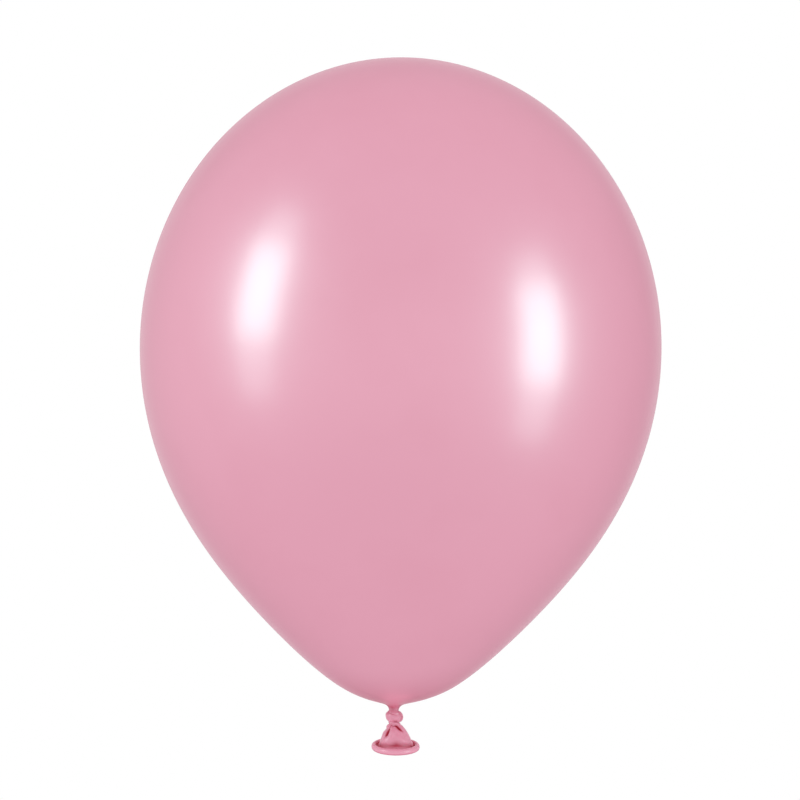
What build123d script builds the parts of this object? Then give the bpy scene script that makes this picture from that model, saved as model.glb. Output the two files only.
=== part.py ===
"""A tied, inflated latex balloon, in millimetres.

A balloon is one dipped film. It is built here as the zones that the film has once it is filled and tied:
the inflated bag, the throat that gathers it, the core and the two turns of the overhand knot, the skirt of
the tail and the rolled lip. The origin is the waist of the neck, where a ribbon is tied, and +Z points to
the crown.
"""

import os
from math import cos, hypot, radians, sin, tan

from build123d import *

os.makedirs("parts", exist_ok=True)

# ---------------------------------------------------------------- driving dimensions
INFLATED_DIAMETER = 280.0  # widest circle of the bag, the 11 inch size
FILM = 0.35  # wall of the bag, a stand-in for stretched film that is far thinner
TAIL_WALL = 0.4  # wall of the unstretched film below the knot

NECK_RADIUS = 2.8  # the film gathered at the waist
BEND_LIMIT = 40.0  # how far the neck and the tail bend, each way, in degrees
BEND_REACH = 8.0  # how far out a bend's room is cut, past every piece beside it
HINGE_GAP = 0.3  # room left where two zones bend or twist past each other
THROAT_TOP = 5.0  # height where the bag becomes the throat

KNOT_CORE_RADIUS = 2.0  # the strand that runs through the knot
WRAP_RADIUS = 4.8  # the fat upper turn of the knot
WRAP_TOP = -0.6  # height that the wrap would reach if the neck didn't bend
WRAP_BOTTOM = -6.1
TURN_RADIUS = 3.6  # the thin lower turn of the knot
TAIL_PIVOT = -8.8  # height where the tail bends under the knot

MOUTH_RADIUS = 8.9  # inside of the hem
HEM_TOP = -18.2
HEM_BOTTOM = -21.3
LIP_DIAMETER = 26.4  # outside of the rolled lip
LIP_WIDTH = 2.9  # section of the roll, across
LIP_HEIGHT = 3.4  # section of the roll, upright
LIP_HEIGHT_AT = -20.1  # middle of the roll

# ---------------------------------------------------------------- outline of the bag
# Turning about the crown, the outline is a short sum of sines for the radius and of cosines for the
# height, in shares of half the inflated diameter. The first term alone is an ellipse, and the next two
# draw it out towards the neck.
HALF_WIDTH = INFLATED_DIAMETER / 2
RADIUS_TERMS = (0.886 * HALF_WIDTH, 0.2687 * HALF_WIDTH, 0.0547 * HALF_WIDTH)
HEIGHT_TERMS = (1.177 * HALF_WIDTH, 0.25 * HALF_WIDTH, 0.0704 * HALF_WIDTH)
MIDDLE_HEIGHT = 1.025 * HALF_WIDTH
FUNNEL_ANGLE = 151.0  # where the outline leaves the sum and becomes the funnel
FUNNEL_REACH = 23.4  # length of the funnel's upper handle
NECK_REACH = 6.7  # length of its lower handle, which stands on the waist
BAG_POINTS = 24
FUNNEL_POINTS = 6
HOLLOW_END = 0.7  # share of the funnel where the film has gathered shut
HOLLOW_TIP = 3.2  # height of the hollow's lowest point


def bag_outline(degrees, inset=0.0):
    """A point of the bag's outline, by its angle from the crown, moved inwards by inset."""
    angle = radians(degrees)
    turns = range(1, len(RADIUS_TERMS) + 1)
    radius = sum(term * sin(n * angle) for n, term in zip(turns, RADIUS_TERMS))
    height = MIDDLE_HEIGHT + sum(term * cos(n * angle) for n, term in zip(turns, HEIGHT_TERMS))
    along, rise = bag_slope(degrees)
    return radius + inset * rise, height - inset * along


def bag_slope(degrees):
    """The direction of the bag's outline, from the crown to the neck, as a unit vector."""
    angle = radians(degrees)
    turns = range(1, len(RADIUS_TERMS) + 1)
    along = sum(n * term * cos(n * angle) for n, term in zip(turns, RADIUS_TERMS))
    rise = -sum(n * term * sin(n * angle) for n, term in zip(turns, HEIGHT_TERMS))
    length = hypot(along, rise)
    return along / length, rise / length


def funnel_outline(share, inset=0.0):
    """A point of the funnel between the bag and the waist, a cubic curve run from 0 to 1."""
    start = Vector(*bag_outline(FUNNEL_ANGLE))
    ends = (
        start,
        start + Vector(*bag_slope(FUNNEL_ANGLE)) * FUNNEL_REACH,
        Vector(NECK_RADIUS, NECK_REACH),
        Vector(NECK_RADIUS, 0),
    )
    rest = 1 - share
    weights = (rest**3, 3 * rest**2 * share, 3 * rest * share**2, share**3)
    point = sum((end * weight for end, weight in zip(ends, weights)), Vector(0, 0))
    pulls = (3 * rest**2, 6 * rest * share, 3 * share**2)
    heading = sum(((b - a) * pull for a, b, pull in zip(ends, ends[1:], pulls)), Vector(0, 0)).normalized()
    return point.X + inset * heading.Y, point.Y - inset * heading.X


def film_points(inset, last_share):
    """Points down the film from the crown to the given share of the funnel."""
    bag = [bag_outline(FUNNEL_ANGLE * n / BAG_POINTS, inset) for n in range(BAG_POINTS)]
    funnel = [funnel_outline(last_share * n / FUNNEL_POINTS, inset) for n in range(FUNNEL_POINTS + 1)]
    return bag + funnel


# ---------------------------------------------------------------- shared profiles
with BuildSketch(Plane.XZ) as film_section:
    with BuildLine():
        outer = Spline(*film_points(0.0, 1.0))
        inner = Spline(*film_points(FILM, HOLLOW_END))
        Line(outer @ 0, inner @ 0)
        Polyline(outer @ 1, (0, 0), (0, HOLLOW_TIP), inner @ 1)
    make_face()


def bend_room(pivot, side, slope):
    """Outline of the room that a bend needs: all that is beyond a cone with its tip by the pivot."""
    tip = pivot + side * HINGE_GAP / 2
    rim = tip + side * BEND_REACH * tan(radians(slope))
    far = pivot - side * BEND_REACH
    return [(0, tip), (BEND_REACH, rim), (BEND_REACH, far), (0, far)]


NECK_SLOPE = BEND_LIMIT / 2  # throat and knot share the neck's bend equally
SKIRT_SLOPE = 0.55 * BEND_LIMIT  # the skirt takes a little more of the tail's bend than the knot's foot
KNOT_FOOT_SLOPE = BEND_LIMIT - SKIRT_SLOPE


# ---------------------------------------------------------------- the bag and its throat
with BuildPart() as envelope:
    revolve(film_section.sketch, axis=Axis.Z)
    split(bisect_by=Plane.XY.offset(THROAT_TOP), keep=Keep.TOP)
envelope.part.label = "envelope"

with BuildPart() as throat:
    revolve(film_section.sketch, axis=Axis.Z)
    split(bisect_by=Plane.XY.offset(THROAT_TOP - HINGE_GAP), keep=Keep.BOTTOM)
    with BuildSketch(Plane.XZ):
        with BuildLine():
            Polyline(*bend_room(0, 1, NECK_SLOPE), close=True)
        make_face()
    revolve(axis=Axis.Z, mode=Mode.SUBTRACT)
throat.part.label = "throat"

# ---------------------------------------------------------------- the overhand knot
WRAP_WIDTH = WRAP_RADIUS - KNOT_CORE_RADIUS
WRAP_HEIGHT = WRAP_TOP - WRAP_BOTTOM
WRAP_ROUND = 0.46 * WRAP_WIDTH
TURN_WIDTH = TURN_RADIUS - KNOT_CORE_RADIUS
TURN_HEIGHT = WRAP_BOTTOM - TAIL_PIVOT

with BuildPart() as knot_core:
    with BuildSketch(Plane.XZ):
        with Locations((KNOT_CORE_RADIUS / 2, TAIL_PIVOT / 2)):
            Rectangle(KNOT_CORE_RADIUS, -TAIL_PIVOT)
    revolve(axis=Axis.Z)
    with BuildSketch(Plane.XZ):
        with BuildLine():
            Polyline(*bend_room(0, -1, NECK_SLOPE), close=True)
        make_face()
        with BuildLine():
            Polyline(*bend_room(TAIL_PIVOT, 1, KNOT_FOOT_SLOPE), close=True)
        make_face()
    revolve(axis=Axis.Z, mode=Mode.SUBTRACT)
knot_core.part.label = "knot_core"

with BuildPart() as knot_wrap:
    with BuildSketch(Plane.XZ):
        with Locations((KNOT_CORE_RADIUS + WRAP_WIDTH / 2, (WRAP_TOP + WRAP_BOTTOM) / 2)):
            Rectangle(WRAP_WIDTH, WRAP_HEIGHT)
        outer_corners = vertices().group_by(Axis.X)[-1]
        fillet(outer_corners, radius=WRAP_ROUND)
    revolve(axis=Axis.Z)
    with BuildSketch(Plane.XZ):
        with BuildLine():
            Polyline(*bend_room(0, -1, NECK_SLOPE), close=True)
        make_face()
    revolve(axis=Axis.Z, mode=Mode.SUBTRACT)
knot_wrap.part.label = "knot_wrap"

with BuildPart() as knot_turn:
    with BuildSketch(Plane.XZ):
        with Locations((KNOT_CORE_RADIUS + TURN_WIDTH / 2, WRAP_BOTTOM - TURN_HEIGHT / 2)):
            Rectangle(TURN_WIDTH, TURN_HEIGHT)
    revolve(axis=Axis.Z)
    with BuildSketch(Plane.XZ):
        with BuildLine():
            Polyline(*bend_room(TAIL_PIVOT, 1, KNOT_FOOT_SLOPE), close=True)
        make_face()
    revolve(axis=Axis.Z, mode=Mode.SUBTRACT)
    rim = edges().filter_by(GeomType.CIRCLE).filter_by(lambda edge: edge.radius > TURN_RADIUS - 0.1)
    fillet(rim.sort_by(Axis.Z)[-1], radius=TURN_WIDTH / 4)
knot_turn.part.label = "knot_turn"

# ---------------------------------------------------------------- the tail
LIP_MIDDLE = (LIP_DIAMETER - LIP_WIDTH) / 2
SKIRT_SHOULDER = 4.0  # radius where the gathered top of the skirt opens out
SHOULDER_HEIGHT = TAIL_PIVOT - HINGE_GAP / 2 - SKIRT_SHOULDER * tan(radians(SKIRT_SLOPE))
SKIRT_HOLLOW_TOP = SHOULDER_HEIGHT - 1.0  # the skirt is gathered shut above this height
SKIRT_WAIST = (7.2, -13.4)  # a point on the outside of the skirt, half way down
HEM_OUTSIDE = MOUTH_RADIUS + TAIL_WALL

with BuildPart() as rolled_lip:
    with BuildSketch(Plane.XZ):
        with Locations((LIP_MIDDLE, LIP_HEIGHT_AT)):
            Ellipse(LIP_WIDTH / 2, LIP_HEIGHT / 2)
    revolve(axis=Axis.Z)
rolled_lip.part.label = "rolled_lip"

with BuildPart() as tail_skirt:
    with BuildSketch(Plane.XZ):
        with BuildLine():
            top = Line((0, TAIL_PIVOT - HINGE_GAP / 2), (SKIRT_SHOULDER, SHOULDER_HEIGHT))
            outside = Spline(top @ 1, SKIRT_WAIST, (HEM_OUTSIDE, HEM_TOP), tangents=[(1, -0.6), (0, -1)])
            foot = Polyline(
                outside @ 1,
                (HEM_OUTSIDE, HEM_BOTTOM + TAIL_WALL),
                (LIP_MIDDLE, HEM_BOTTOM + TAIL_WALL),
                (LIP_MIDDLE, HEM_BOTTOM),
                (MOUTH_RADIUS, HEM_BOTTOM),
                (MOUTH_RADIUS, HEM_TOP),
            )
            inside = Spline(
                foot @ 1,
                (SKIRT_WAIST[0] - TAIL_WALL, SKIRT_WAIST[1] - TAIL_WALL / 2),
                (0, SKIRT_HOLLOW_TOP),
                tangents=[(0, 1), (-1, 0)],
            )
            Line(inside @ 1, top @ 0)
        make_face()
    revolve(axis=Axis.Z)
    with BuildSketch(Plane.XZ):
        with Locations((LIP_MIDDLE, LIP_HEIGHT_AT)):
            Ellipse(LIP_WIDTH / 2, LIP_HEIGHT / 2)
    revolve(axis=Axis.Z, mode=Mode.SUBTRACT)
tail_skirt.part.label = "tail_skirt"

# ---------------------------------------------------------------- hand over
for piece in (envelope, throat, knot_core, knot_wrap, knot_turn, tail_skirt, rolled_lip):
    export_step(piece.part, f"parts/{piece.part.label}.step")
    box = piece.part.bounding_box()
    print(piece.part.label, "volume", round(piece.part.volume, 1), "from", box.min, "to", box.max)
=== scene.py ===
# %% [markdown]
# # A tied latex balloon
#
# This notebook dresses the plain model of a party balloon as the real thing: one thin film of pearl pink
# latex, stretched into a teardrop, gathered into a knot, and ending in a small skirt with a rolled lip.
#
# The plain model is loaded as a fixed frame. It says how large the balloon is and where it bends. Every
# piece below is a new mesh that stands for a part of that frame. Lengths are written in millimetres,
# because a knot is easier to think about that way, and one helper turns them into metres.

# %% Load the frame and measure it
from math import cos, pi, radians, sin

import bmesh
import bpy
import numpy as np
from mathutils import Euler, Matrix, Vector


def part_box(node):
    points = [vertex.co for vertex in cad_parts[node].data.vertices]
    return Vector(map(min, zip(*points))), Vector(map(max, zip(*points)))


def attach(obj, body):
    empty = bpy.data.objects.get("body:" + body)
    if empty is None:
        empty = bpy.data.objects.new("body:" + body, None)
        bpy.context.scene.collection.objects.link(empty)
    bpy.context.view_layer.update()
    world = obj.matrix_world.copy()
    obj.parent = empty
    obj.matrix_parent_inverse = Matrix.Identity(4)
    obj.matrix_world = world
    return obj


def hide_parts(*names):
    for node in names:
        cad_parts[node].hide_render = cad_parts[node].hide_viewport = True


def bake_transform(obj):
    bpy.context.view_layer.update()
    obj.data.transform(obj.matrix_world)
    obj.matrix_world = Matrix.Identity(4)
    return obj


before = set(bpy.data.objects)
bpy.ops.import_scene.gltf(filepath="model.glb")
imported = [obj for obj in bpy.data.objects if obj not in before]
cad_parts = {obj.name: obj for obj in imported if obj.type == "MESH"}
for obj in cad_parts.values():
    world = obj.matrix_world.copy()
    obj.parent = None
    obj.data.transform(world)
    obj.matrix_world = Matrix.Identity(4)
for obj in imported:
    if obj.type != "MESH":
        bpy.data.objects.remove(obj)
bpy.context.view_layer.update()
MM = 0.001

half_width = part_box("envelope")[1].x / MM
crown_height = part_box("envelope")[1].z / MM
lip_low, lip_high = (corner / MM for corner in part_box("rolled_lip"))
print("half width", round(half_width, 2), "mm, crown at", round(crown_height, 2), "mm")
print("lip ring", round(2 * lip_high.x, 2), "mm across")
print("lip from", round(lip_low.z, 2), "to", round(lip_high.z, 2), "mm")

# %% [markdown]
# ## A film as a grid of points
#
# Every piece of a balloon is a film that runs round an axis: the bag, the neck, the turns of the knot, the
# skirt and the lip. So every piece can be one grid of points, with rows that run down the film and columns
# that run round it. A grid made by formula has even, smooth faces, which matters here, because a glossy
# film shows every flat spot. A sphere or a lathe tool would give the same grid, but not the folds.
#
# `polar` turns an angle, a radius and a height into a point. The angle counts from the front, towards the
# right. The knot of a real balloon never sits quite under the bag, so `sway` moves the neck a millimetre
# to one side and lets it come back on the way down. The mouth of the tail isn't quite level either, so
# `polar` lets its front nod down a little.

# %% Points round the axis
SWAY_REACH = 16.0  # height above the waist where the film starts to lean
SWAY_WAIST = -1.2  # how far the waist is to the left of the axis
SWAY_KNOT = -0.75  # how far the knot is
SWAY_LIP = 0.05  # how far the lip is to the right of it
SWAY_KNOT_END = 4.0  # depth at which the film is in line with the knot
SWAY_TAIL_START = 7.0  # depth at which the tail starts to come back
TAIL_NOD = 0.04  # slope of the lip, whose front hangs a little lower than its back
NOD_START, NOD_END = 10.0, 18.0  # depths below the waist between which the nod comes in


def smooth(value, low, high):
    """0 below low, 1 above high, and an even curve between them."""
    share = np.clip((value - low) / (high - low), 0, 1)
    return share * share * (3 - 2 * share)


def sway(height):
    """Sideways shift of the film at a height."""
    above = SWAY_WAIST * (1 - smooth(height, 0, SWAY_REACH))
    knot = (SWAY_KNOT - SWAY_WAIST) * smooth(-height, 0, SWAY_KNOT_END)
    tail = (SWAY_LIP - SWAY_KNOT) * smooth(-height, SWAY_TAIL_START, -lip_low.z)
    return above + knot + tail


def polar(angle, radius, height):
    """Points at an angle from the front in radians, a radius and a height, as an array of x, y and z."""
    angle, radius, height = np.broadcast_arrays(angle, radius, height)
    across, deep = radius * np.sin(angle) + sway(height), -radius * np.cos(angle)
    nod = TAIL_NOD * smooth(-height, NOD_START, NOD_END)
    return np.stack((across, deep, height + nod * deep), axis=-1)


def columns_round(count):
    """Evenly spaced angles once round the axis."""
    return np.linspace(-pi, pi, count, endpoint=False)[None, :]


print("waist sways", SWAY_WAIST, "mm, lip", round(float(sway(lip_low.z)), 2), "mm")


# %% Turn a grid into a mesh
def skin(name, points, closed_section=False, marks=None):
    """A mesh from a grid of points in millimetres. Columns always close round the axis.

    closed_section joins the last row to the first, as on a ring. marks are values per point that the
    finishes read, such as how gathered the film is. Rows that shrink to one point become a pole.
    """
    rows, columns = points.shape[:2]
    index = np.arange(rows * columns).reshape(rows, columns)
    top = index if closed_section else index[:-1]
    below = np.roll(index, -1, axis=0) if closed_section else index[1:]
    corners = (top, np.roll(top, -1, axis=1), np.roll(below, -1, axis=1), below)
    faces = np.stack(corners, axis=-1).reshape(-1, 4)

    mesh = bpy.data.meshes.new(name)
    mesh.from_pydata((points.reshape(-1, 3) * MM).tolist(), [], faces.tolist())
    for mark, values in (marks or {}).items():
        layer = mesh.attributes.new(mark, "FLOAT", "POINT")
        layer.data.foreach_set("value", np.broadcast_to(values, (rows, columns)).astype(np.float32).ravel())

    clean = bmesh.new()
    clean.from_mesh(mesh)
    bmesh.ops.remove_doubles(clean, verts=clean.verts, dist=1e-7)
    bmesh.ops.recalc_face_normals(clean, faces=clean.faces)
    clean.to_mesh(mesh)
    clean.free()
    mesh.shade_smooth()

    piece = bpy.data.objects.new(name, mesh)
    bpy.context.scene.collection.objects.link(piece)
    print(name, "has", len(mesh.vertices), "points and", len(mesh.polygons), "faces")
    return piece


# %% [markdown]
# ## Folds and creases
#
# Film that is pulled tight lies smooth. Film that has room gathers, and where it gathers it folds inwards
# along lines. Cloth simulation could find such folds, but a knot's folds depend on how it was tied, and
# here each one has a place. So a fold is a path drawn on the film, with a depth at its deepest spot and a
# width on each side. A steep side reads as an overlap, and a wide side as a soft hollow.
#
# `fold_depth` measures how far each point is from the path, along the film, and returns how far the point
# is pulled in. The same number is kept as a mark for painted shade, which darkens the film to crimson in a
# fold.

# %% Depth of a fold
def fold_depth(angle, height, radius, path, depth, left, right, start=0.0, end=0.0, peak=0.5):
    """How far a fold pulls each point in.

    path is a list of (degrees from the front, height). left and right are the widths beside the path,
    looking along it. start and end are the shares of the depth at its ends, and peak is where it is full.
    """
    length = sum(abs(b[1] - a[1]) + abs(b[0] - a[0]) * 0.1 for a, b in zip(path, path[1:]))
    nearest = np.full(angle.shape, np.inf)
    pull = np.zeros(angle.shape)
    gone = 0.0
    for a, b in zip(path, path[1:]):
        turn = (angle - radians(a[0]) + pi) % (2 * pi) - pi
        across, down = turn * radius, height - a[1]
        run, drop = radians(b[0] - a[0]) * radius, b[1] - a[1]
        share = np.clip((across * run + down * drop) / (run**2 + drop**2), 0, 1)
        distance = np.hypot(across - share * run, down - share * drop)
        side = across * drop - down * run
        width = np.where(side > 0, left, right)
        piece = abs(drop) + abs(b[0] - a[0]) * 0.1
        along = (gone + share * piece) / length
        taper = np.interp(along, (0, peak, 1), (start, 1, end))
        value = depth * taper * np.exp(-((distance / width) ** 2))
        pull = np.where(distance / width < nearest, value, pull)
        nearest = np.minimum(nearest, distance / width)
        gone += piece
    return pull


def all_folds(angle, height, radius, folds):
    """The pull of several folds together."""
    angle, height, radius = np.broadcast_arrays(angle, height, radius)
    return sum((fold_depth(angle, height, radius, **fold) for fold in folds), np.zeros(angle.shape))


# %% [markdown]
# ## The outline of the bag
#
# A filled balloon is not a ball on a cone. Its outline is one even curve: nearly an ellipse at the crown,
# drawn out towards the neck, and turned under at the very end, where the film is held by the knot. Three
# sine terms give the whole sweep. A short Bezier curve, the kind with two handles, gives the turn under.

# %% Outline of the bag and its funnel
RADIUS_TERMS = [half_width * share for share in (0.886, 0.2687, 0.0547)]
HEIGHT_TERMS = [half_width * share for share in (1.177, 0.25, 0.0704)]
MIDDLE_HEIGHT = crown_height - sum(HEIGHT_TERMS)
FUNNEL_ANGLE = radians(151.0)
FUNNEL_REACH = 23.4
NECK_REACH = 6.7
NECK_RADIUS = 2.7


def bezier(points, share):
    """Radius and height along a cubic Bezier curve."""
    rest = 1 - share
    weights = (rest**3, 3 * rest**2 * share, 3 * rest * share**2, share**3)
    return [sum(weight * point[k] for weight, point in zip(weights, points)) for k in (0, 1)]


def bag_outline(angle):
    """Radius and height of the bag's outline, at an angle from the crown."""
    radius = sum(term * np.sin((n + 1) * angle) for n, term in enumerate(RADIUS_TERMS))
    height = sum(term * np.cos((n + 1) * angle) for n, term in enumerate(HEIGHT_TERMS))
    return radius, MIDDLE_HEIGHT + height


def funnel_outline(share):
    """Radius and height of the funnel, from the bag at share 0 to the waist at share 1."""
    start = np.array(bag_outline(FUNNEL_ANGLE))
    before = np.array(bag_outline(FUNNEL_ANGLE - 0.01))
    heading = (start - before) / np.linalg.norm(start - before)
    handle = start + heading * FUNNEL_REACH
    return bezier((start, handle, (NECK_RADIUS, NECK_REACH), (NECK_RADIUS, 0.0)), share)


print("funnel starts at radius and height", [round(float(v), 2) for v in bag_outline(FUNNEL_ANGLE)])

# %% [markdown]
# ## Pleats at the neck
#
# The neck of the bag was several times wider before it was pulled together, so its film has to gather in
# pleats. They are sharp at the waist and die out a couple of centimetres up the bag. Each pleat is an
# angle, a width and a depth, uneven as fingers leave them, and they lean a little because the neck was
# twisted while it was tied. The bag and the strand below it use the same pleats, so that they meet.

# %% Pleats
PLEATS = (  # degrees from the front, width in degrees, share of the full depth
    (-128, 12, 0.8),
    (-62, 9, 0.3),
    (-10, 24, 0.75),
    (66, 10, 0.35),
    (122, 11, 0.9),
    (161, 13, 0.7),
    (202, 11, 1.0),
)
PLEAT_DEPTH = 0.6
PLEAT_LEAN = 4.0  # degrees per millimetre of height
PLEAT_TOP = 9.0  # radius where the pleats have died out


def pleat_depth(angle, radius, height):
    """How far the pleats pull the film towards the axis."""
    fade = (1 - smooth(radius, NECK_RADIUS, PLEAT_TOP)) ** 2 * (height < MIDDLE_HEIGHT)
    lean = radians(PLEAT_LEAN) * np.clip(height, -2, 6)
    total = 0
    for at, width, share in PLEATS:
        turn = (angle - radians(at) + lean + pi) % (2 * pi) - pi
        total = total + share * np.exp(-((turn / radians(width)) ** 2))
    return PLEAT_DEPTH * fade * total


# %% [markdown]
# ## The bag
#
# The bag is the outline swept once round. The thickness mark says where the film stayed thicker, at the
# crown and by the neck: it is stretched less there, and its colour is deeper.

# %% Build the bag
BAG_ROWS = 150
FUNNEL_ROWS = 70
BAG_COLUMNS = 192
BAG_END = 0.845  # share of the funnel where the strand takes over
CROWN_MARK = 0.12  # how much thicker the crown is
NECK_SPOT_RADIUS = 58.0  # the film is thicker within this radius at the neck

row_angles = np.linspace(0, FUNNEL_ANGLE, BAG_ROWS)
bag_radius, bag_height = bag_outline(row_angles)
funnel_radius, funnel_height = funnel_outline(np.linspace(0, BAG_END, FUNNEL_ROWS)[1:])
radius = np.concatenate((bag_radius, funnel_radius))[:, None]
height = np.concatenate((bag_height, funnel_height))[:, None]
angle = columns_round(BAG_COLUMNS)
pleated = pleat_depth(angle, radius, height)
crown_spot = CROWN_MARK * (1 - smooth(np.arange(len(radius)) / BAG_ROWS, 0.04, 0.4))[:, None]
neck_spot = (1 - smooth(radius, 3, NECK_SPOT_RADIUS)) * (height < MIDDLE_HEIGHT)
# Painted shade: the fold mark darkens the pleat valleys towards crimson. The thickness mark is the film's
# own deeper colour at the crown and by the neck.
bag = skin(
    "bag_film",
    polar(angle, np.maximum(radius - pleated, 0), height),
    marks={"thick_film_and_shade": crown_spot + neck_spot, "fold": np.clip(pleated / PLEAT_DEPTH, 0, 1) * 0.6},
)
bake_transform(bag)
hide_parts("envelope")

# %% [markdown]
# ## The strand through the neck
#
# Below the funnel the film is a solid looking strand. It starts just inside the bag's end, narrows at the
# waist where a ribbon would be tied, and goes down through the middle of the knot. It is fine along its
# length, with many rows. On the front it spreads like a shoulder over the top of the knot, because the knot
# pulls some of the neck's film down with it.

# %% Build the strand
STRAND_ROWS = 140
STRAND_COLUMNS = 96
STRAND_INSET = 0.04  # keeps the strand's top just inside the bag's end
STRAND_BOTTOM = -8.0
SHOULDER_LEFT, SHOULDER_RIGHT = radians(-48), radians(36)  # the film spreads over the knot between these
SHOULDER_LEFT_END, SHOULDER_RIGHT_END = -0.3, -1.8  # and ends at these heights
SHOULDER_SPREAD = 1.3

share = np.linspace(BAG_END - 0.05, 1, STRAND_ROWS // 2)
upper_radius, upper_height = funnel_outline(share)
lower_height = np.linspace(0, STRAND_BOTTOM, STRAND_ROWS // 2)[1:]
lower_radius = NECK_RADIUS - 0.5 * smooth(-lower_height, 2, 6)
radius = np.concatenate((upper_radius - STRAND_INSET, lower_radius, [0]))[:, None]
height = np.concatenate((upper_height, lower_height, [STRAND_BOTTOM]))[:, None]
angle = columns_round(STRAND_COLUMNS)
pleated = pleat_depth(angle, np.maximum(radius, NECK_RADIUS), height) * smooth(height, 0.0, 2.6)
across_shoulder = (angle - SHOULDER_LEFT) / (SHOULDER_RIGHT - SHOULDER_LEFT)
shoulder_end = SHOULDER_LEFT_END + (SHOULDER_RIGHT_END - SHOULDER_LEFT_END) * across_shoulder
round_front = smooth(angle, SHOULDER_LEFT - 0.5, SHOULDER_LEFT)
round_front = round_front * (1 - smooth(angle, SHOULDER_RIGHT, SHOULDER_RIGHT + 0.4))
spread = SHOULDER_SPREAD * smooth(-height, -1.6, 1.0) + 0.3 * smooth(-height, 1.0, 2.4)
spread = spread * round_front * (1 - smooth(shoulder_end - height, 0, 0.3)) * (radius > 0)
# Painted shade and light: the fold mark darkens the pleat valleys towards crimson, and the thickness mark
# falls away from just above the waist down, which paints the shoulder over the knot lighter against the
# shade the bag casts there.
strand = skin(
    "neck_strand",
    polar(angle, np.maximum(radius - pleated + spread, 0), height),
    marks={
        "thick_film_and_shade": 1.0 - 0.75 * smooth(-height, -3.0, 0.4),
        "fold": np.clip(pleated / PLEAT_DEPTH, 0, 1) * 0.6,
    },
)
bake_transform(strand)
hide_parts("throat", "knot_core")

# %% [markdown]
# ## The turns of the knot
#
# An overhand knot in a balloon shows two turns of film round the strand: a fat one on top, which takes the
# pull of the bag, and a thin one under it. Each is a roll of film, so each is a ring with a rounded
# section that closes on itself. The ring is tipped, because the turns run downhill, and its section
# changes on the way round. Folds then draw the edges of the film across it. The top left of the fat turn is
# hollowed, which leaves more room between the knot and the bag when the knot tips that way.


# %% A turn of film
def turn_of_film(name, rows, columns, middle, section, tip, lobes, folds, squareness, hollows=()):
    """A tipped ring of film round the strand.

    middle is the (radius, height) of the section's middle, and section its half width and half height.
    tip is how far the right side hangs below the middle, and how far the front stands above it. lobes
    are (times round, share, phase) that make the ring uneven. squareness above 1 flattens the section's
    outside. A fold with a negative depth is a ridge. Folds also paint shade into the colour through the fold
    mark; hollows pull the film in without that painted shade.
    """
    angle = columns_round(columns)
    round_section = np.linspace(0, 2 * pi, rows, endpoint=False)[:, None]
    uneven = 1 + sum(share * np.cos(times * angle + phase) for times, share, phase in lobes)
    out = np.sign(np.cos(round_section)) * np.abs(np.cos(round_section)) ** (1 / squareness)
    up = np.sin(round_section)
    level = middle[1] - tip[0] * np.sin(angle) + tip[1] * np.cos(angle)
    height = level + section[1] * up * (0.5 + 0.5 * uneven)
    radius = middle[0] + section[0] * out * uneven
    pull = all_folds(angle, height, np.full(height.shape, middle[0] + section[0]), folds)
    room = all_folds(angle, height, np.full(height.shape, middle[0] + section[0]), hollows)
    facing_out = np.clip(np.cos(round_section), 0, 1) ** 0.5
    radius = radius - (pull + room) * facing_out
    # Painted shade: the fold mark darkens the film towards crimson along the folds.
    return skin(
        name,
        polar(angle, np.maximum(radius, 0.2), height),
        closed_section=True,
        marks={"thick_film_and_shade": 0.25, "fold": np.clip(pull * facing_out / 0.5, 0, 1) * 0.85},
    )


# %% Build the fat turn
WRAP_FOLDS = (
    dict(path=[(-66, -0.5), (-38, -0.75), (0, -1.3), (40, -2.3)], depth=0.3, left=0.25, right=0.5,
         start=0.5, end=0.1, peak=0.3),
    dict(path=[(-84, -1.3), (-50, -1.5)], depth=0.2, left=0.3, right=0.35),
    dict(path=[(58, -1.4), (66, -3.0), (60, -4.6)], depth=0.3, left=0.9, right=0.35,
         start=0.5, end=0.9, peak=0.7),
    dict(path=[(30, -2.4), (33, -4.3)], depth=-0.25, left=0.6, right=0.6, start=0.8, end=1),
    dict(path=[(-30, -3.6), (15, -3.9)], depth=0.07, left=0.25, right=0.25),
    dict(path=[(-20, -4.95), (4, -5.1), (24, -5.2)], depth=0.75, left=0.3, right=0.35,
         start=0.2, end=0.8, peak=0.7),
    dict(path=[(110, -0.9), (150, -2.4), (200, -4.6)], depth=0.6, left=0.35, right=0.9, peak=0.6),
    dict(path=[(235, -1.2), (250, -3.2), (240, -5.2)], depth=0.35, left=0.5, right=0.3),
)
WRAP_HOLLOWS = (
    dict(path=[(-125, -0.4), (-90, -0.3), (-55, -0.4)], depth=0.85, left=0.9, right=0.9, start=0.7, end=0.7),
)
wrap = turn_of_film(
    "knot_wrap_film", 96, 224,
    middle=(2.5, -3.08), section=(2.0, 2.84), tip=(0.16, 0.15),
    lobes=((1, 0.012, 0.6), (2, -0.16, 0.1), (3, 0.012, 0.4)),
    folds=WRAP_FOLDS, squareness=1.02, hollows=WRAP_HOLLOWS,
)
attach(wrap, "knot")
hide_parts("knot_wrap")

# %% Build the thin turn
TURN_FOLDS = (
    dict(path=[(-60, -6.4), (-10, -6.8), (50, -7.45)], depth=0.2, left=0.16, right=0.16),
    dict(path=[(120, -7.6), (180, -7.0), (230, -6.9)], depth=0.25, left=0.3, right=0.2),
)
turn = turn_of_film(
    "knot_turn_film", 56, 160,
    middle=(2.1, -6.9), section=(1.3, 1.0), tip=(0.62, 0.3),
    lobes=((1, 0.02, -0.5), (2, 0.05, 0.8)),
    folds=TURN_FOLDS, squareness=1.2,
)
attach(turn, "knot")
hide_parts("knot_turn")
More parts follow.
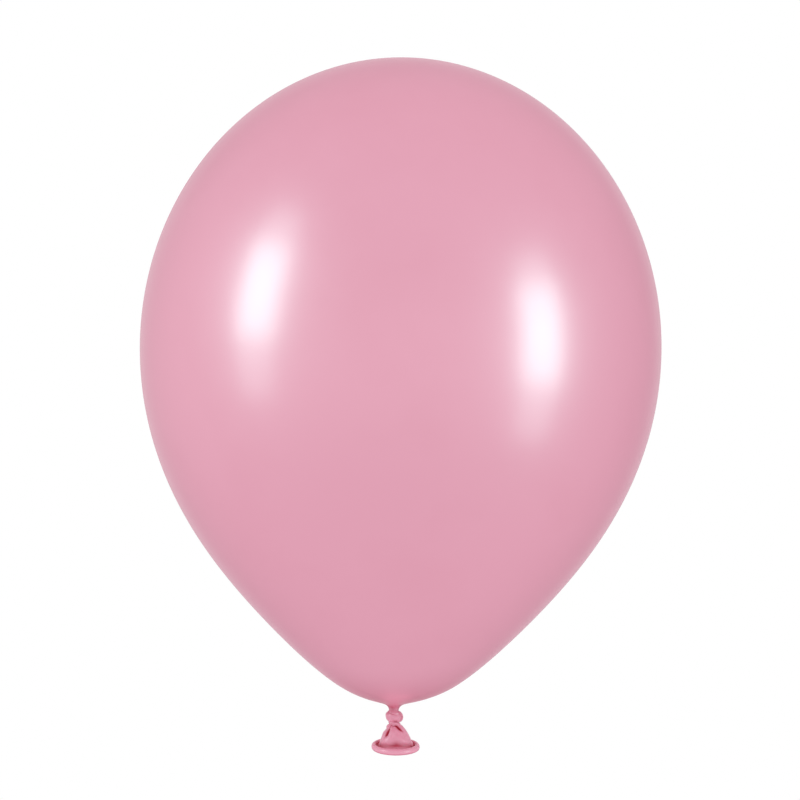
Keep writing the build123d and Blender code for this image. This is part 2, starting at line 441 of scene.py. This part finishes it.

# %% [markdown]
# ## The skirt
#
# Under the knot the old neck of the balloon is relaxed again, and opens like a bell. The knot pinches its
# top, so folds run down from there: a deep pocket on the left with a soft ear of film above it, a slanting
# crease on the right, and two soft ribs down the front that part above a hollow. At the foot the film
# turns out and meets the roll of the lip.
#
# The bell is one Bezier curve swept round. Creases and hollows pull it in, bulges push it out, and the
# whole is given a wall, because it is open below and the inside can be seen. Creases, hollows and the gap
# above the lip are also darkened to crimson, as painted shade. A bulge with a negative depth pulls in
# without that painted shade, as at the little waist under the ear.

# %% Outline of the skirt
SKIRT_TOP = (2.3, -7.3)
SKIRT_HANDLES = ((6.3, -9.6), (7.3, -13.6))
SKIRT_FOOT = (9.15, -17.8)
SKIRT_ROWS = 132
SKIRT_COLUMNS = 256
FILM_WALL = 0.35
LIP_SECTION = (2.9, 3.45)  # width and height of the roll
LIP_LIFT = 0.35
lip_middle = (lip_high.x - LIP_SECTION[0] / 2, (lip_low.z + lip_high.z) / 2 + LIP_LIFT)


share = np.linspace(0, 1, SKIRT_ROWS)
bell_radius, bell_height = bezier((SKIRT_TOP, *SKIRT_HANDLES, SKIRT_FOOT), share)
hem = (SKIRT_FOOT, (9.5, -18.8), (9.3, -19.8), (lip_middle[0], -19.9))
hem_radius, hem_height = bezier(hem, np.linspace(0, 1, 24)[1:])
print("bell is", round(float(bell_radius.max()), 2), "mm in radius at its foot")

# %% Folds of the skirt
SKIRT_CREASES = (
    dict(path=[(-30, -9.7), (-37, -12.5)], depth=2.4, left=1.6, right=0.5, start=0.35, end=0.85, peak=0.7),
    dict(path=[(-36, -7.75), (-18, -8.0), (4, -8.25)], depth=0.9, left=0.35, right=0.35,
         start=0.8, end=0.3, peak=0.3),
    dict(path=[(22, -8.2), (37, -9.4), (58, -11.5)], depth=1.8, left=1.1, right=0.9, start=0.7, peak=0.3),
    dict(path=[(100, -8.8), (112, -11.5), (108, -14.5)], depth=1.3, left=0.8, right=0.5, peak=0.4),
    dict(path=[(165, -8.4), (172, -11.0), (185, -14.8)], depth=1.4, left=0.5, right=0.9, peak=0.45),
    dict(path=[(222, -8.6), (214, -11.8)], depth=1.1, left=0.7, right=0.7, peak=0.4),
)
SKIRT_HOLLOWS = (
    dict(path=[(3, -14.0), (4, -16.8)], depth=0.35, left=2.6, right=2.6, start=0.3, end=0.8),
    dict(path=[(-64, -18.3), (-25, -17.8), (4, -17.3), (36, -17.8), (66, -18.3)], depth=0.9, left=0.8,
         right=1.45, start=0.7, end=0.7),
    dict(path=[(36, -12.2), (60, -13.0)], depth=0.2, left=1.1, right=0.8),
)
SKIRT_BULGES = (
    dict(path=[(-78, -7.4), (-84, -8.1)], depth=0.5, left=0.8, right=0.8, start=1, end=1),
    dict(path=[(-52, -9.7), (-72, -10.0), (-115, -10.1)], depth=-2.8, left=0.55, right=1.35,
         start=0.3, end=0.7),
    dict(path=[(-90, -10.2), (-90, -18.8)], depth=-1.1, left=3.0, right=3.0, start=0.5, end=0.8, peak=0.6),
    dict(path=[(-18, -8.8), (-16, -11.0), (-22, -13.0), (-40, -14.2)], depth=0.45, left=0.6, right=0.7,
         start=0.4, end=0.4),
    dict(path=[(-6, -9.0), (0, -12.8)], depth=0.35, left=1.0, right=1.0, start=0.6, end=0.4),
    dict(path=[(-22, -14.4), (-46, -15.7)], depth=0.7, left=1.25, right=1.25, start=0.6, end=0.4),
    dict(path=[(16, -13.0), (30, -14.5), (52, -15.8)], depth=1.0, left=1.25, right=1.25, start=0.5, end=0.4),
    dict(path=[(140, -12.0), (138, -16.0)], depth=0.5, left=1.6, right=1.6),
    dict(path=[(205, -12.5), (208, -16.5)], depth=0.5, left=1.8, right=1.8),
)

# %% Build the skirt
radius = np.concatenate(([0, 1.4], bell_radius, hem_radius))[:, None]
height = np.concatenate(([SKIRT_TOP[1] + 0.1, SKIRT_TOP[1] + 0.05], bell_height, hem_height))[:, None]
angle = columns_round(SKIRT_COLUMNS)
round_grid = np.broadcast_arrays(angle, height, radius)
creased = all_folds(*round_grid, SKIRT_CREASES)
hollow = all_folds(*round_grid, SKIRT_HOLLOWS)
push = all_folds(*round_grid, SKIRT_BULGES)
held = smooth(radius, 1.5, 3.2) * (1 - smooth(-height, 18.2, 19.6))
moved = np.clip(radius + (push - creased - hollow) * held, 0.25 * radius, None)
# Painted shade: creases, hollows and the gap between the bell's foot and the lip are darkened towards
# crimson through the fold mark.
gap_shade = smooth(-height, 17.8, 19.2) * (0.15 + 0.75 * np.sin(angle) ** 2)
shade = np.clip(1.9 * creased - 0.5, 0, 1) + 0.8 * hollow * held + gap_shade
skirt = skin(
    "tail_skirt_film",
    polar(angle, moved, height),
    marks={"thick_film_and_shade": 0.15, "fold": np.clip(shade, 0, 1)},
)


def give_wall(piece, wall):
    """Gives an open film its thickness, inwards."""
    solid = piece.modifiers.new("wall", "SOLIDIFY")
    solid.thickness = wall * MM
    solid.offset = -1
    graph = bpy.context.evaluated_depsgraph_get()
    walled = piece.evaluated_get(graph)
    made = bpy.data.meshes.new_from_object(walled, preserve_all_data_layers=True, depsgraph=graph)
    piece.modifiers.clear()
    piece.data = made
    print(piece.name, "has a wall now, and", len(made.polygons), "faces")


give_wall(skirt, FILM_WALL)
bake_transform(skirt)
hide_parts("tail_skirt")

# %% [markdown]
# ## The rolled lip
#
# The lip is the edge of the film rolled up on itself while the latex was still soft, so it is a bead with
# a slightly uneven section. The outermost layer of the roll ends in a fine step. It runs round the
# underside, and shows only from below.

# %% Build the lip
LIP_ROWS = 64
LIP_COLUMNS = 240
angle = columns_round(LIP_COLUMNS)
round_section = np.linspace(0, 2 * pi, LIP_ROWS, endpoint=False)[:, None]
uneven = 1 + 0.02 * np.cos(2 * angle + 0.8) + 0.012 * np.cos(5 * angle - 0.4) + 0.008 * np.cos(9 * angle)
step_at = radians(235) + 0.12 * np.sin(3 * angle)
step = 0.1 * smooth(round_section - step_at, 0, 0.18) * (1 - smooth(round_section - step_at, 0.5, 1.6))
wide = (LIP_SECTION[0] / 2) * uneven - step
tall = (LIP_SECTION[1] / 2) * (0.5 + 0.5 * uneven) - step
# Painted shade: the underside of the roll is darkened through the thickness mark, as the shade below it, and
# its inner side is darkened to crimson through the fold mark, as the shade in the gap.
underside_shade = smooth(-np.sin(round_section), 0, 0.9)
inner_side_shade = np.clip(-np.cos(round_section), 0, 1)
lip = skin(
    "lip_roll",
    polar(angle, lip_middle[0] + wide * np.cos(round_section), lip_middle[1] + tall * np.sin(round_section)),
    closed_section=True,
    marks={"thick_film_and_shade": 0.15 + 0.85 * underside_shade, "fold": 0.8 * inner_side_shade**1.5},
)
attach(lip, "tail")
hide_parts("rolled_lip")

# %% [markdown]
# ## Writing a finish as an expression
#
# Latex doesn't have a pattern, it has small changes: the colour deepens where the film is thick, the gloss
# is a little uneven, the pearl pigment has a faint grain. Each is a sum or a product of a few values, and
# reads best as one. `Wire` stands for a node's output, and adding or multiplying wires adds Math nodes.
# Colours are blended with Mix nodes, because a Math node would turn them grey.


# %% Wires and node trees
class Wire:
    """An output of a node. Arithmetic on wires adds Math nodes."""

    def __init__(self, tree, socket):
        self.tree = tree
        self.socket = socket

    def math(self, operation, first, second):
        return self.tree.node("ShaderNodeMath", {"operation": operation}, {0: first, 1: second})

    def __add__(self, other):
        return self.math("ADD", self, other)

    def __radd__(self, other):
        return self.math("ADD", other, self)

    def __sub__(self, other):
        return self.math("SUBTRACT", self, other)

    def __rsub__(self, other):
        return self.math("SUBTRACT", other, self)

    def __mul__(self, other):
        return self.math("MULTIPLY", self, other)

    def __rmul__(self, other):
        return self.math("MULTIPLY", other, self)


class Tree:
    """The nodes of a material or a world."""

    def __init__(self, owner):
        owner.use_nodes = True
        self.nodes = owner.node_tree.nodes
        self.links = owner.node_tree.links
        self.nodes.clear()

    def node(self, kind, settings=None, sockets=None, out=0):
        """Adds a node, sets it up, feeds its sockets with values or wires, and returns one output."""
        made = self.nodes.new(kind)
        for setting, value in (settings or {}).items():
            setattr(made, setting, value)
        for socket, value in (sockets or {}).items():
            if isinstance(value, Wire):
                self.links.new(value.socket, made.inputs[socket])
            else:
                made.inputs[socket].default_value = value
        return Wire(self, made.outputs[out]) if made.outputs else made

    def mark(self, name):
        """A value that skin() kept on the points."""
        return self.node("ShaderNodeAttribute", {"attribute_name": name}, out="Fac")

    def noise(self, size, detail=2.0):
        """Soft noise between 0 and 1, with lumps of about the given size in millimetres."""
        place = self.node("ShaderNodeTexCoord", out="Object")
        sockets = {"Vector": place, "Scale": 1 / (size * MM), "Detail": detail}
        return self.node("ShaderNodeTexNoise", sockets=sockets)

    def blend(self, share, first, second):
        """A colour between two colours."""
        return self.node("ShaderNodeMix", {"data_type": "RGBA"}, {0: share, 6: first, 7: second}, out=2)

    def step(self, value, low, high):
        """0 below low, 1 above high, and an even curve between them."""
        limits = {"Value": value, "From Min": low, "From Max": high}
        return self.node("ShaderNodeMapRange", {"interpolation_type": "SMOOTHSTEP"}, limits)


# %% [markdown]
# ## Pearl latex
#
# Pearl latex has three things to show. Deep in the film, pink pigment scatters the light, and this is its
# colour. Mica flakes in the film reflect softly, and give the wide glow round each bright spot. The skin
# of the film is smooth, and gives the bright spot itself, with an edge that is soft but clear.
#
# The Principled shader holds all three: its colour, its own rough reflection, and a smoother coat on top.
# At a flat angle the coat reflects more, and draws the pale line along the balloon's rim. A painted
# gradient could fake that line, but it would stay put when the balloon turns. A little sheen stands for the
# fine powder that keeps the film from sticking to itself.
#
# Film that isn't stretched is duller, so the knot, the skirt and the lip have a weaker and rougher skin.
# The skin also fades where the film is thick, and is gone at the bottom of a fold, where no light gets in.
# The colour carries painted shade as well: folds and gaps are painted a deep crimson, and the underside of
# the lip a darker pink.


# %% Latex finish
DUST_PINK = (1.0, 0.42, 0.56, 1)


def latex(name, fresh, thick_film_and_shade, deep, pearl, coat, dust, grain, wrinkle):
    """Pearl latex. fresh is its colour where it is stretched, and the next colour where it is gathered or
    where shade is painted under the lip. deep is the crimson of the painted shade in folds and gaps.

    pearl is the (roughness, strength) of the pearl in the film. coat is the (weight, roughness, index) of
    the film's skin. dust is how much fine powder is left on it. grain is the strength of the pearl's grain,
    and wrinkle is the height in millimetres of the fine wrinkles of film that isn't stretched.
    """
    material = bpy.data.materials.new(name)
    tree = Tree(material)
    cloud = tree.noise(55, 3.0)
    speck = tree.noise(0.45, 2.0)
    # The thickness mark is the film's own deeper colour, with painted shade under the lip and a painted
    # lighter shoulder on the strand.
    thickness = tree.mark("thick_film_and_shade")
    body = tree.blend(thickness + (cloud - 0.5) * 0.3, fresh, thick_film_and_shade)
    body = tree.blend((speck - 0.5) * grain + 0.5 * grain, body, thick_film_and_shade)
    # Painted shade: the fold mark blends in the deep crimson and takes the skin off in folds and gaps.
    fold = tree.mark("fold")
    body = tree.blend(fold, body, deep)
    fine = tree.noise(0.8, 3.0) + tree.noise(2.2, 2.0)
    relief = tree.node("ShaderNodeBump", sockets={"Height": fine, "Distance": wrinkle * MM, "Strength": 1.0})
    film = tree.node(
        "ShaderNodeBsdfPrincipled",
        sockets={
            "Base Color": body,
            "Roughness": pearl[0] + (cloud - 0.5) * 0.06 + (speck - 0.5) * 0.05,
            "Normal": relief,
            "IOR": 1.5,
            "Specular IOR Level": pearl[1],
            "Coat Weight": (coat[0] - (0.5 * coat[0]) * thickness) * (1 - fold),
            "Coat Roughness": coat[1],
            "Coat IOR": coat[2],
            "Sheen Weight": dust,
            "Sheen Roughness": 0.5,
            "Sheen Tint": DUST_PINK,
        },
    )
    tree.node("ShaderNodeOutputMaterial", sockets={"Surface": film})
    print(name, "has", len(tree.nodes), "nodes")
    return material


FRESH_PINK = (0.83, 0.352, 0.48, 1)
# Deeper colour of thick film, also used as painted shade under the lip.
THICK_AND_SHADE_PINK = (0.645, 0.17, 0.26, 1)
RELAXED_PINK = (0.87, 0.39, 0.525, 1)
# Painted shade colour for folds, hollows and gaps.
SHADE_CRIMSON = (0.46, 0.016, 0.05, 1)
PINKS = (FRESH_PINK, THICK_AND_SHADE_PINK, SHADE_CRIMSON)
RELAXED_PINKS = (RELAXED_PINK, THICK_AND_SHADE_PINK, SHADE_CRIMSON)
BRIGHT_SKIN = (0.8, 0.25, 1.9)
DULL_SKIN = (0.75, 0.3, 1.5)
NECK_SKIN = (0.5, 0.3, 1.6)

stretched = latex("stretched_latex", *PINKS, (0.45, 0.8), BRIGHT_SKIN, dust=0.2, grain=0.05, wrinkle=0.0015)
gathered = latex("gathered_latex", *PINKS, (0.5, 0.5), NECK_SKIN, dust=0.05, grain=0.1, wrinkle=0.005)
relaxed = latex("relaxed_latex", *RELAXED_PINKS, (0.5, 0.3), DULL_SKIN, dust=0.05, grain=0.1, wrinkle=0.006)
rolled = latex("rolled_latex", *RELAXED_PINKS, (0.5, 0.3), DULL_SKIN, dust=0.05, grain=0.1, wrinkle=0.005)

FINISHES = (
    (bag, stretched),
    (strand, gathered),
    (wrap, relaxed),
    (turn, relaxed),
    (skirt, relaxed),
    (lip, rolled),
)
for piece, material in FINISHES:
    piece.data.materials.clear()
    piece.data.materials.append(material)

# %% [markdown]
# ## The studio
#
# A white studio lights a balloon from everywhere, which is why its pink looks so even. The world does that
# here: it is white to the camera, and even as a soft light. What the gloss mirrors is different: bright in
# front of the balloon, dim to the sides, and bright again right behind it, where the white backdrop is.
# So the sides turn a little deeper in colour, and only the very rim is pale.
#
# Two tall softboxes stand to the left and the right and give the two bright spots. Each is two panels, a
# bright one and a longer dim one, so that the spot fades out at its ends. They are a cool white, because
# the pink of the film warms whatever it adds to. They only make gloss, because the world already gives the
# soft light.
#
# A pale disc under the balloon is the floor. It is well below, as under a balloon that hangs, so that it
# stays out of the way of a view from below. The gloss doesn't mirror it.


# %% World
def studio_world(soft, behind_boost, front, left, right, behind, above, below):
    """A white world. soft is its strength as a soft light, and behind_boost is how much that grows behind.

    front, left, right, behind, above and below are its strengths as the gloss mirrors them.
    """
    world = bpy.data.worlds.new("studio")
    tree = Tree(world)
    place = tree.node("ShaderNodeTexCoord", out="Generated")
    across, deep, up = (tree.node("ShaderNodeSeparateXYZ", sockets={0: place}, out=axis) for axis in "XYZ")
    sides = (left + right) / 2 + across * ((right - left) / 2)
    level = sides + (front - sides) * tree.step(0 - deep, 0.0, 1.0)
    level = level + (above - level) * tree.step(up, 0.1, 0.9)
    level = level + (below - level) * tree.step(0 - up, 0.1, 0.8)
    mirrored = level + (behind - level) * tree.step(deep, 0.72, 1.0)
    soft_light = soft + deep * behind_boost
    is_gloss = tree.node("ShaderNodeLightPath", out="Is Glossy Ray")
    is_camera = tree.node("ShaderNodeLightPath", out="Is Camera Ray")
    light = soft_light + is_gloss * (mirrored - soft_light)
    strength = light + is_camera * (1 - light)
    shade = tree.node("ShaderNodeBackground", sockets={"Color": (1, 1, 1, 1), "Strength": strength})
    tree.node("ShaderNodeOutputWorld", sockets={"Surface": shade})
    return world


bpy.context.scene.world = studio_world(
    soft=1.23, behind_boost=0.25, front=0.36, left=0.28, right=0.01, behind=0.66, above=0.18, below=0.01
)
bpy.context.scene.view_settings.view_transform = "Standard"

# %% Softboxes
COOL_WHITE = (0.62, 1.0, 0.96)
LIGHT_DISTANCE = 1300.0
bag_middle = Vector((0, 0, MIDDLE_HEIGHT + 60)) * MM


def panel(name, azimuth, low, high, width, power):
    """A softbox panel that covers a width and a range of elevations in degrees, as the balloon sees it."""
    middle = radians((low + high) / 2)
    turn = radians(azimuth)
    out = Vector((sin(turn) * cos(middle), -cos(turn) * cos(middle), sin(middle)))
    light = bpy.data.lights.new(name, "AREA")
    light.shape = "RECTANGLE"
    light.size = 2 * LIGHT_DISTANCE * MM * sin(radians(width / 2))
    light.size_y = 2 * LIGHT_DISTANCE * MM * sin(radians((high - low) / 2))
    light.energy = power * light.size * light.size_y
    light.color = COOL_WHITE
    lamp = bpy.data.objects.new(name, light)
    lamp.location = bag_middle + out * LIGHT_DISTANCE * MM
    lamp.rotation_mode = "QUATERNION"
    lamp.rotation_quaternion = (-out).to_track_quat("-Z", "Y")
    lamp.visible_camera = False
    lamp.visible_diffuse = False
    bpy.context.scene.collection.objects.link(lamp)
    print(name, round(light.size, 2), "by", round(light.size_y, 2), "m,", round(light.energy, 1), "W")


panel("left_softbox", -60.5, 2, 31, 20, 15.3)
panel("left_softbox_tail", -60.5, -18, 46, 17, 6.8)
panel("right_softbox", 58.4, -10, 20, 20, 15.3)
panel("right_softbox_tail", 58.4, -30, 33, 17, 6.8)

# %% Floor
FLOOR_DROP = 1300.0
FLOOR_RADIUS = 800.0
FLOOR_COLUMNS = 96
floor_height = lip_low.z - FLOOR_DROP
rim = [(FLOOR_RADIUS * cos(t) * MM, FLOOR_RADIUS * sin(t) * MM, floor_height * MM)
       for t in np.linspace(0, 2 * pi, FLOOR_COLUMNS, endpoint=False)]
floor_mesh = bpy.data.meshes.new("studio_floor")
floor_mesh.from_pydata(rim, [], [tuple(range(FLOOR_COLUMNS))])
floor = bpy.data.objects.new("studio_floor", floor_mesh)
bpy.context.scene.collection.objects.link(floor)
floor_mesh.materials.append(bpy.data.materials.new("pale_floor"))
floor_tree = Tree(floor_mesh.materials[0])
pale = {"Base Color": (0.92, 0.92, 0.92, 1), "Roughness": 0.8}
matt = floor_tree.node("ShaderNodeBsdfPrincipled", sockets=pale)
floor_tree.node("ShaderNodeOutputMaterial", sockets={"Surface": matt})
floor.visible_glossy = False

# %% [markdown]
# ## The camera
#
# The balloon is seen from its front, at about the height of its widest circle, with the camera pointing
# down by two degrees. It is close to a metre away, as a product is often shot, and leans by half a degree,
# because the balloon doesn't hang quite upright.

# %% Camera
LOOK_HEIGHT = 169.8  # height of the point in the middle of the picture
CAMERA_DISTANCE = 950.0
CAMERA_PITCH = 2.0
CAMERA_ROLL = 0.74
CAMERA_LENS = 78.74

down = radians(CAMERA_PITCH)
camera = bpy.data.objects.new("camera", bpy.data.cameras.new("camera"))
camera.data.lens = CAMERA_LENS
camera.location = Vector((0, -CAMERA_DISTANCE * cos(down), LOOK_HEIGHT + CAMERA_DISTANCE * sin(down))) * MM
upright = Euler((pi / 2 - down, 0, 0)).to_matrix()
camera.rotation_euler = (upright @ Matrix.Rotation(radians(CAMERA_ROLL), 3, "Z")).to_euler()
bpy.context.scene.collection.objects.link(camera)
bpy.context.scene.camera = camera
print("camera at", [round(v, 3) for v in camera.location])
